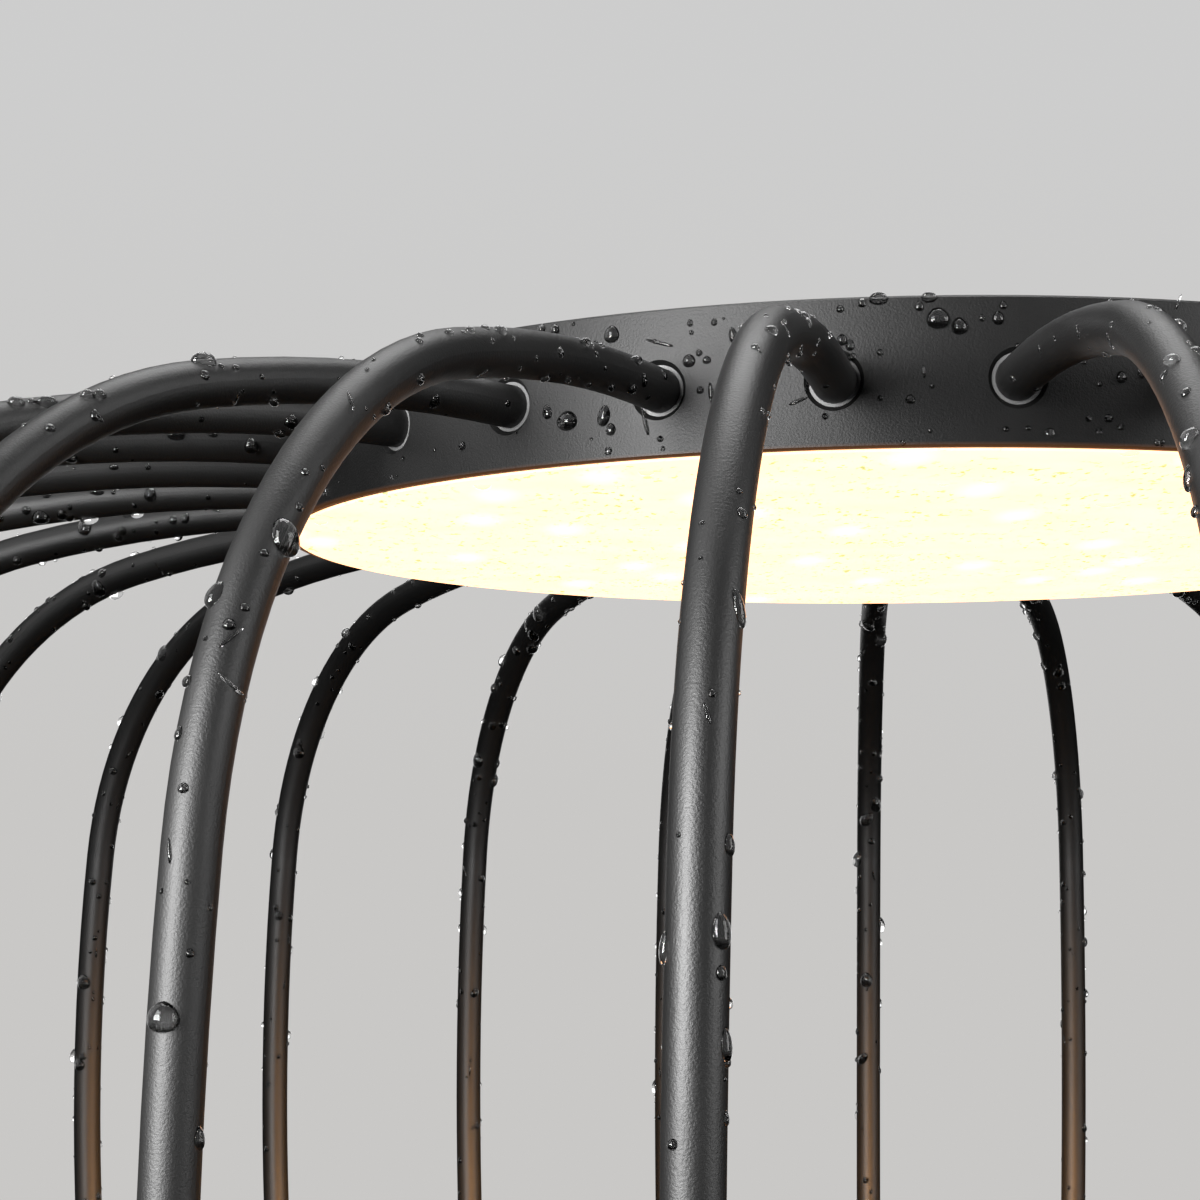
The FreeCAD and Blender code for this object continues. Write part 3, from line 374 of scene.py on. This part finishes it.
# Drops that stand out: column and row in the photograph, width and height in millimetres, and lean in
# degrees, with the foot to the right
LARGE_DROPS = (
    (285, 537, 5.8, 7.0, 0), (215, 594, 3.6, 5.0, 0), (245, 607, 1.7, 1.7, 0), (183, 788, 2.0, 1.9, 0),
    (190, 953, 1.5, 1.6, 0), (163, 1017, 5.2, 4.8, 0), (199, 1138, 2.4, 3.9, 0), (179, 733, 1.8, 2.6, 0),
    (231, 684, 0.9, 6.2, 50), (231, 637, 0.8, 6.0, -48), (739, 608, 2.4, 6.6, 0), (729, 845, 2.4, 3.8, 0),
    (722, 931, 3.4, 5.4, 0), (721, 973, 2.0, 2.5, 0), (726, 1045, 2.6, 5.4, 0), (665, 948, 2.4, 5.0, 0),
    (712, 693, 1.2, 1.5, 0), (707, 713, 0.6, 3.6, 15), (702, 523, 1.1, 1.1, 0), (754, 507, 1.1, 1.2, 0),
    (768, 415, 1.4, 1.5, 0), (612, 334, 3.8, 4.0, 0), (567, 421, 5.4, 4.7, 0), (604, 416, 3.2, 4.6, -12),
    (611, 429, 2.6, 3.0, 0), (547, 412, 2.6, 3.4, 10), (689, 361, 3.1, 3.1, 0), (707, 360, 2.0, 1.9, 0),
    (690, 323, 1.4, 1.7, 0), (714, 322, 1.6, 1.7, 0), (711, 393, 1.3, 5.0, 8), (938, 318, 4.8, 4.8, 0),
    (960, 326, 3.6, 4.0, 0), (998, 318, 2.6, 3.0, 0), (840, 309, 1.7, 1.7, 0), (862, 303, 2.0, 2.0, 0),
    (910, 399, 2.2, 2.2, 0), (880, 352, 1.5, 1.5, 0), (1122, 377, 2.8, 2.8, 0), (1109, 418, 2.0, 2.1, 0),
    (1050, 433, 2.4, 2.4, 0), (203, 361, 5.4, 3.6, 0), (88, 395, 3.2, 2.6, 0), (99, 394, 2.8, 2.4, 0),
    (95, 415, 2.2, 2.4, 0), (50, 428, 2.2, 2.2, 0), (205, 375, 2.2, 2.4, 0), (176, 434, 5.0, 3.0, 0),
    (251, 446, 3.6, 4.2, 20), (291, 422, 3.8, 3.6, 0), (150, 495, 3.8, 3.8, 0), (41, 517, 5.2, 3.8, 0),
    (173, 520, 2.6, 3.0, 0), (122, 531, 2.6, 3.0, 0), (98, 588, 4.6, 6.0, 20), (560, 352, 2.2, 2.2, 0),
    (500, 331, 3.6, 2.6, 0), (470, 331, 2.4, 2.0, 0), (545, 378, 2.2, 2.6, 0), (850, 345, 2.0, 2.6, 0),
    (805, 316, 1.8, 2.4, 0), (733, 335, 1.9, 3.6, 10), (1188, 478, 2.4, 5.0, 0), (1186, 392, 1.6, 2.4, 0),
    (482, 486, 6.0, 5.0, 0), (321, 522, 5.0, 4.0, 0), (646, 472, 5.5, 4.5, 0), (16, 402, 4.0, 3.4, 0),
    (31, 401, 2.2, 2.0, 0), (46, 403, 5.0, 3.0, 0), (221, 366, 1.5, 1.5, 0), (236, 368, 1.8, 1.8, 0),
    (262, 377, 1.4, 1.4, 0), (213, 434, 2.6, 1.8, 0), (280, 433, 3.4, 2.2, 0), (274, 401, 3.2, 2.0, 0),
    (71, 458, 3.4, 2.4, 0), (116, 450, 1.5, 1.5, 0), (114, 467, 2.4, 1.6, 0), (148, 467, 1.5, 1.6, 0),
    (97, 492, 3.8, 2.0, 0), (208, 497, 1.6, 1.6, 0), (27, 533, 3.2, 2.0, 0), (215, 510, 0.9, 4.2, 70),
    (99, 549, 2.6, 1.6, 0), (178, 537, 3.6, 1.8, 0), (305, 472, 1.5, 1.6, 0), (322, 468, 1.3, 1.3, 0),
    (299, 507, 1.7, 1.8, 0), (485, 328, 2.0, 3.4, -35), (449, 333, 2.0, 1.6, 0), (541, 329, 2.4, 2.2, 0),
    (555, 330, 2.6, 2.6, 0), (584, 343, 4.0, 1.8, 0), (601, 346, 1.8, 1.6, 0), (636, 360, 3.6, 2.4, 0),
    (611, 387, 2.6, 1.8, 0), (632, 389, 3.0, 2.4, 0), (568, 379, 2.2, 1.6, 0), (645, 421, 1.2, 6.5, 14),
    (660, 439, 1.7, 1.7, 0), (608, 451, 2.0, 2.0, 0), (660, 343, 0.9, 7.6, 73), (771, 331, 2.6, 2.2, 0),
    (842, 340, 2.4, 2.4, 0), (851, 357, 2.6, 1.4, 0), (798, 401, 0.9, 4.4, -70), (435, 401, 2.8, 3.4, 20),
    (264, 553, 1.9, 1.6, 0), (229, 624, 2.2, 2.2, 0), (326, 491, 2.4, 2.8, 0), (188, 681, 2.4, 2.6, 0),
    (313, 686, 2.6, 4.0, -20), (298, 753, 4.2, 4.8, 20), (176, 634, 2.0, 1.8, 0), (664, 911, 2.4, 3.2, 0),
    (727, 1061, 1.8, 2.0, 0), (726, 1118, 1.6, 2.4, 0), (919, 306, 2.0, 2.0, 0), (982, 318, 1.4, 1.6, 0),
    (1003, 305, 1.8, 1.9, 0), (932, 386, 1.2, 1.3, 0), (880, 398, 1.3, 1.3, 0), (1006, 429, 1.4, 1.4, 0),
    (1028, 428, 1.2, 1.2, 0), (1099, 431, 1.6, 1.7, 0), (1121, 427, 1.7, 1.4, 0), (1141, 373, 1.5, 2.6, 20),
    (1172, 360, 3.2, 2.6, 0), (1164, 376, 1.4, 2.4, 0), (1189, 438, 4.0, 3.2, 60), (1110, 341, 1.0, 3.4, 15),
    (1079, 334, 1.2, 2.0, 0), (1112, 324, 1.1, 1.1, 0), (1055, 338, 1.1, 1.1, 0), (1040, 349, 1.1, 1.8, 0),
    (1084, 362, 1.4, 1.2, 0), (1038, 389, 1.3, 6.0, -57), (1150, 308, 1.8, 1.3, 0), (1158, 310, 1.3, 1.2, 0),
    (878, 298, 4.2, 1.8, 0), (929, 297, 3.4, 2.2, 0), (624, 313, 3.4, 1.8, 0), (644, 380, 2.0, 3.2, 20),
    (596, 354, 1.3, 1.3, 0), (648, 397, 1.4, 1.6, 0), (536, 358, 1.3, 1.4, 0), (513, 338, 1.2, 1.2, 0),
    (798, 312, 1.4, 2.4, -30), (808, 322, 1.6, 2.8, -30), (818, 342, 1.3, 2.0, -20), (788, 361, 1.6, 1.4, 0),
    (762, 411, 1.2, 1.2, 0), (739, 491, 1.3, 1.4, 0), (696, 478, 1.2, 2.2, 0), (807, 386, 1.0, 3.4, -20),
)


def skin_of(mesh):
    return BVHTree.FromPolygons([vertex.co for vertex in mesh.vertices],
                                [patch.vertices for patch in mesh.polygons])


def unit_ball(level):
    ball = bmesh.new()
    bmesh.ops.create_icosphere(ball, subdivisions=level, radius=1)
    points = np.array([vertex.co for vertex in ball.verts])
    faces = np.array([[vertex.index for vertex in face.verts] for face in ball.faces])
    ball.free()
    return points, faces


class Rain:
    """Drops of water on surfaces, gathered into one piece."""

    balls = [unit_ball(level) for level in MESH_LEVELS]

    def __init__(self, name, body, seed, flat=1.0):
        self.name = name
        self.body = body
        self.dice = random.Random(seed)
        self.flat = flat
        self.points = []
        self.faces = []
        self.wet = []
        self.number = 0
        self.taken = []

    def fall_on(self, node):
        """The next drops lie on this node, its large ones first."""
        self.mesh = nodes[node].data
        self.skin = wet_skins[node]
        self.taken = []
        for spot, normal, width, height, lean in large_drops[node]:
            size = width / 2 * MM
            self.free(spot, size)
            self.drop(spot, normal, size, height / width, -math.radians(lean))

    def free(self, spot, size):
        """Takes a place for a drop, if no other drop has it."""
        for other, other_size in self.taken:
            if (other - spot).length < DROP_SPACING * (size + other_size):
                return False
        self.taken.append((spot, size))
        return True

    def drop(self, spot, normal, size, length=1.0, turn=0.0, height=DROP_HEIGHT):
        """A rounded drop with its weight low and its underside pressed onto the surface."""
        fall = -UP - normal * (-UP).dot(normal)
        if fall.length < LEVEL_SLOPE:
            fall = Vector((1, 0, 0)) - normal * normal.x
        fall.normalize()
        across = fall.cross(normal)
        down = fall * math.cos(turn) + across * math.sin(turn)
        side = across * math.cos(turn) - fall * math.sin(turn)
        ball, faces = self.balls[(size > FINE_FROM) + (size > FINEST_FROM)]
        x, y, z = ball.T
        waves = sum(np.sin(LUMP_WAVES * axis + self.dice.uniform(0, math.tau)) for axis in (x, y, z))
        lump = 1 + self.dice.uniform(*DROP_LUMPS) * waves
        steep = math.sqrt(max(0, 1 - normal.z ** 2))
        wide = lump * (1 + DROP_BELLY * steep * y) * size
        long = lump * (y + DROP_SAG * steep * np.maximum(0, z)) * size * length
        high = lump * (z - DROP_SINK) * size * height * self.flat
        points = np.array(spot) + np.stack([wide * x, long, high], axis=1) @ np.array([side, down, normal])
        under = np.zeros(len(points), bool)
        for index in np.flatnonzero(z < PRESSED_BELOW):
            place, facing, _, _ = self.skin.find_nearest(points[index])
            if (Vector(points[index]) - place).dot(facing) < DROP_LIFT:
                points[index] = place + facing * DROP_LIFT
                under[index] = True
        self.points.append(points)
        self.faces.append(faces + self.number)
        self.wet.append(under[faces].all(axis=1))
        self.number += len(ball)

    def random_drop(self, spot, normal, smallest, largest):
        """A drop of random size and form, or now and then a thin streak."""
        share = 1 - (smallest / largest) ** DROP_FALL_OFF
        size = smallest * (1 - self.dice.random() * share) ** (-1 / DROP_FALL_OFF)
        length = 1 + self.dice.random() * MOST_STRETCH * min(1, size / STRETCHED_SIZE)
        if self.dice.random() < STREAK_SHARE:
            size = self.dice.uniform(*STREAK_SIZES) * MM
            length = self.dice.uniform(*STREAK_LENGTHS)
        turn = self.dice.gauss(0, DROP_LEAN)
        if self.free(spot, size):
            self.drop(spot, normal, size, length, turn, self.dice.uniform(*DROP_HEIGHTS))

    def scatter(self, number, keep, smallest=SMALLEST_DROP, largest=LARGEST_DROP):
        """Random drops on the faces that pass a test of their middle and normal."""
        patches = [patch for patch in self.mesh.polygons if keep(patch.center, patch.normal)]
        areas = [patch.area for patch in patches]
        for patch in self.dice.choices(patches, areas, k=number):
            corners = [self.mesh.vertices[corner].co for corner in patch.vertices]
            first, second = sorted((self.dice.random(), self.dice.random()))
            spot = corners[0] * first + corners[1] * (second - first) + corners[2] * (1 - second)
            self.random_drop(spot, patch.normal, smallest, largest)

    def finish(self, water, underside):
        """Makes the piece, with one material for the drops' skins and one for their undersides."""
        mesh = bpy.data.meshes.new(self.name)
        mesh.from_pydata(np.concatenate(self.points).tolist(), [], np.concatenate(self.faces).tolist())
        mesh.materials.append(water)
        mesh.materials.append(underside)
        mesh.polygons.foreach_set("material_index", np.concatenate(self.wet).astype(int))
        mesh.polygons.foreach_set("use_smooth", [True] * len(mesh.polygons))
        piece = bpy.data.objects.new(self.name, mesh)
        bpy.context.scene.collection.objects.link(piece)
        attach(piece, self.body)


def flat_distance(spot):
    return math.hypot(spot.x, spot.y)


def high_on_rod(spot, normal):
    return flat_distance(spot) > HEAD_RADIUS + CLEAR_OF_RIM and spot.z > MIDDLE.z


def low_on_rod(spot, normal):
    return flat_distance(spot) > HEAD_RADIUS + CLEAR_OF_RIM and spot.z < MIDDLE.z


def on_rim(spot, normal):
    return flat_distance(spot) > HEAD_RADIUS - NEAR_RIM and abs(normal.z) < UPRIGHT


def on_head_top(spot, normal):
    return normal.z > FLAT and spot.z > head_high.z - NEAR_TOP


def on_base_top(spot, normal):
    return normal.z > FLAT and spot.z > base_high.z - NEAR_TOP


def under_diffuser(spot, normal):
    return normal.z < -FLAT and flat_distance(spot) < HEAD_RADIUS


def place_large_drops():
    """Finds where the lines of sight to the large drops meet the lamp."""
    found = {name: [] for name in wet_skins}
    for column, row, width, height, lean in LARGE_DROPS:
        sight = ahead * FOCAL_LENGTH + right * (column - IMAGE_SIZE / 2) + UP * (HORIZON_ROW - row)
        hits = []
        for name, skin in wet_skins.items():
            spot, normal, _, distance = skin.ray_cast(camera_spot, sight)
            if spot:
                hits.append((distance, name, spot, normal))
        if hits:
            _, name, spot, normal = min(hits)
            found[name].append((spot, normal, width, height, lean))
    return found


wet_nodes = rod_names + ["head_housing", "base_housing", "diffuser"]
wet_skins = {name: skin_of(nodes[name].data) for name in wet_nodes}
large_drops = place_large_drops()


def let_it_rain():
    """Wets the cage, a few rods to a piece, both cups and the disc."""
    water = rain_water("rain_water")
    wet = wet_paint("wet_paint")
    for first in range(0, len(rod_names), RODS_IN_A_PIECE):
        cage = Rain(f"rain_on_cage_{first // RODS_IN_A_PIECE + 1}", LAMP_BODY, CAGE_SEED + first)
        for name in rod_names[first:first + RODS_IN_A_PIECE]:
            low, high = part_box(name)
            behind = low.y + high.y > 0
            share = FAR_SHARE if behind else 1
            sizes = (SMALLEST_FAR, LARGEST_DROP) if behind else (SMALLEST_DROP, LARGEST_NEAR)
            cage.fall_on(name)
            cage.scatter(round(HIGH_DROPS * share), high_on_rod, *sizes)
            cage.scatter(round(LOW_DROPS * share), low_on_rod, *sizes)
        cage.finish(water, wet)
    cups = Rain("rain_on_cups", LAMP_BODY, CUPS_SEED)
    cups.fall_on("head_housing")
    cups.scatter(HEAD_RIM_DROPS, on_rim, largest=LARGEST_NEAR)
    cups.scatter(HEAD_TOP_DROPS, on_head_top)
    cups.fall_on("base_housing")
    cups.scatter(BASE_RIM_DROPS, on_rim)
    cups.scatter(BASE_TOP_DROPS, on_base_top)
    cups.finish(water, wet)
    under = Rain("rain_under_diffuser", DIFFUSER_BODY, DISC_SEED, DISC_DROP_HEIGHT)
    under.fall_on("diffuser")
    under.scatter(DISC_DROPS, under_diffuser)
    under.finish(water, nodes["diffuser"].material_slots[0].material)


# Studio
BACKDROP_LOW = (0.585, 0.577, 0.566, 1)
BACKDROP_HIGH = (0.612, 0.612, 0.611, 1)
BACKDROP_RISE = (0.03, 0.28)        # sines of the angles above level where low turns into high
STUDIO_DIM = grey(0.005)
STUDIO_BRIGHT = grey(1.35)
FLOOR_RADIUS = 1.65
FLOOR_FADES_FROM = 0.75
FLOOR_SEGMENTS = 96
FLOOR_TONES = (grey(0.80), grey(0.84))
FLOOR_PATCH_SIZE = 0.3

# Softboxes: name, place, the point it faces, width, height, watts, and whether it lights the floor
SOFTBOXES = (
    ("key_light", (-0.62, -0.78, 0.43), (-0.14, -0.33, 0.32), 0.42, 0.28, 17, False),
    ("high_key_light", (-0.62, -0.78, 0.75), (-0.14, -0.33, 0.32), 0.42, 0.4, 7.4, False),
    ("side_light", (1.12, -0.66, 0.62), (0, 0, 0.35), 0.9, 1.1, 17, False),
    ("top_light", (0, 0.3, 1.7), (0, 0, 0.4), 1.0, 1.0, 17, True),
    ("left_light", (-1.1, -0.05, 1.1), (-0.1, 0, 0.4), 0.8, 1.3, 4, True),
    ("back_light", (0, 1.6, 0.6), (0, 0, 0.3), 1.2, 0.8, 4, False),
)
GLOW_COLOUR = (1.0, 0.45, 0.10)
GLOW_POWER = 28                     # watts
GLOW_SPREAD = math.radians(134)
GLOW_INSIDE_RIM = 12 * MM
GLOW_BELOW_HEAD = 1.5 * MM


def studio_world():
    """Plain backdrop behind the lamp, a dim room for it to reflect and a bright one for water to mirror."""
    world = bpy.data.worlds.new("studio")
    world.use_nodes = True
    bpy.context.scene.world = world
    tree = world.node_tree
    background = tree.nodes["Background"]
    place = tree.nodes.new("ShaderNodeTexCoord")
    parts = tree.nodes.new("ShaderNodeSeparateXYZ")
    rise = tree.nodes.new("ShaderNodeMapRange")
    backdrop = tree.nodes.new("ShaderNodeMix")
    path = tree.nodes.new("ShaderNodeLightPath")
    seen = tree.nodes.new("ShaderNodeMath")
    room = tree.nodes.new("ShaderNodeMix")
    chosen = tree.nodes.new("ShaderNodeMix")
    backdrop.data_type = room.data_type = chosen.data_type = "RGBA"
    seen.operation = "MAXIMUM"
    rise.inputs["From Min"].default_value = BACKDROP_RISE[0]
    rise.inputs["From Max"].default_value = BACKDROP_RISE[1]
    backdrop.inputs[6].default_value = BACKDROP_LOW
    backdrop.inputs[7].default_value = BACKDROP_HIGH
    room.inputs[6].default_value = STUDIO_DIM
    room.inputs[7].default_value = STUDIO_BRIGHT
    for source, target in (
        (place.outputs["Generated"], parts.inputs[0]),
        (parts.outputs["Z"], rise.inputs["Value"]),
        (rise.outputs["Result"], backdrop.inputs["Factor"]),
        (path.outputs["Is Camera Ray"], seen.inputs[0]),
        (path.outputs["Is Transmission Ray"], seen.inputs[1]),
        (path.outputs["Is Singular Ray"], room.inputs["Factor"]),
        (seen.outputs[0], chosen.inputs["Factor"]),
        (room.outputs[2], chosen.inputs[6]),
        (backdrop.outputs[2], chosen.inputs[7]),
        (chosen.outputs[2], background.inputs["Color"]),
    ):
        tree.links.new(source, target)


def studio_floor():
    """Pale floor round the lamp, which fades into the backdrop and sends no light back to the lamp."""
    mesh = bpy.data.meshes.new("studio_floor")
    shape = bmesh.new()
    bmesh.ops.create_circle(shape, cap_ends=True, radius=FLOOR_RADIUS, segments=FLOOR_SEGMENTS)
    shape.to_mesh(mesh)
    shape.free()
    floor = bpy.data.objects.new("studio_floor", mesh)
    bpy.context.scene.collection.objects.link(floor)
    finish = Finish("studio_floor", {"Roughness": 0.7})
    pale = finish.mixed(finish.noise(FLOOR_PATCH_SIZE), *FLOOR_TONES)
    seen = finish.add("ShaderNodeLightPath").outputs["Is Camera Ray"]
    finish.colour(finish.mixed(seen, grey(0.0), pale))
    reach = finish.add("ShaderNodeVectorMath", {0: finish.place}, operation="LENGTH").outputs["Value"]
    fade = finish.spread(reach, 0, 1, FLOOR_FADES_FROM, FLOOR_RADIUS)
    clear = finish.add("ShaderNodeBsdfTransparent")
    blend = finish.add("ShaderNodeMixShader", {0: fade})
    finish.feed(blend.inputs[1], finish.shader.outputs[0])
    finish.feed(blend.inputs[2], clear.outputs[0])
    finish.feed(finish.output.inputs["Surface"], blend.outputs[0])
    mesh.materials.append(finish.material)
    return floor


def softbox(name, spot, target, width, height, power, lights_floor, floor):
    """An area light that faces a target and stays out of the picture itself."""
    light = bpy.data.lights.new(name, "AREA")
    light.shape = "RECTANGLE"
    light.size = width
    light.size_y = height
    light.energy = power
    holder = bpy.data.objects.new(name, light)
    bpy.context.scene.collection.objects.link(holder)
    holder.location = spot
    holder.rotation_euler = (Vector(spot) - Vector(target)).to_track_quat("Z", "Y").to_euler()
    holder.visible_camera = False
    if not lights_floor:
        passed = bpy.data.collections.new(f"{name}_passes")
        passed.objects.link(floor)
        passed.collection_objects[0].light_linking.link_state = "EXCLUDE"
        holder.light_linking.receiver_collection = passed


def lamp_glow():
    """Warm light that the diffuser throws on the cage, and on nothing else."""
    light = bpy.data.lights.new("lamp_glow", "AREA")
    light.shape = "DISK"
    light.size = 2 * (HEAD_RADIUS - GLOW_INSIDE_RIM)
    light.energy = GLOW_POWER
    light.color = GLOW_COLOUR
    light.spread = GLOW_SPREAD
    holder = bpy.data.objects.new("lamp_glow", light)
    bpy.context.scene.collection.objects.link(holder)
    holder.location = UP * (head_low.z - GLOW_BELOW_HEAD)
    holder.visible_camera = False
    cage = bpy.data.collections.new("cage")
    for name in rod_names:
        cage.objects.link(nodes[name])
    holder.light_linking.receiver_collection = cage


def make_camera():
    lens = bpy.data.cameras.new("camera")
    lens.sensor_width = SENSOR
    lens.lens = FOCAL_LENGTH / IMAGE_SIZE * SENSOR
    lens.shift_y = HORIZON_ROW / IMAGE_SIZE - 0.5
    lens.clip_start = NEAREST_SEEN
    camera = bpy.data.objects.new("camera", lens)
    bpy.context.scene.collection.objects.link(camera)
    camera.location = camera_spot
    camera.rotation_euler = (math.pi / 2, 0, -VIEW_TURN)
    bpy.context.scene.camera = camera


paint_nodes()
let_it_rain()
studio_world()
ground = studio_floor()
for settings in SOFTBOXES:
    softbox(*settings, ground)
lamp_glow()
make_camera()
bpy.context.scene.view_settings.view_transform = "Standard"
bpy.context.scene.cycles.caustics_refractive = False
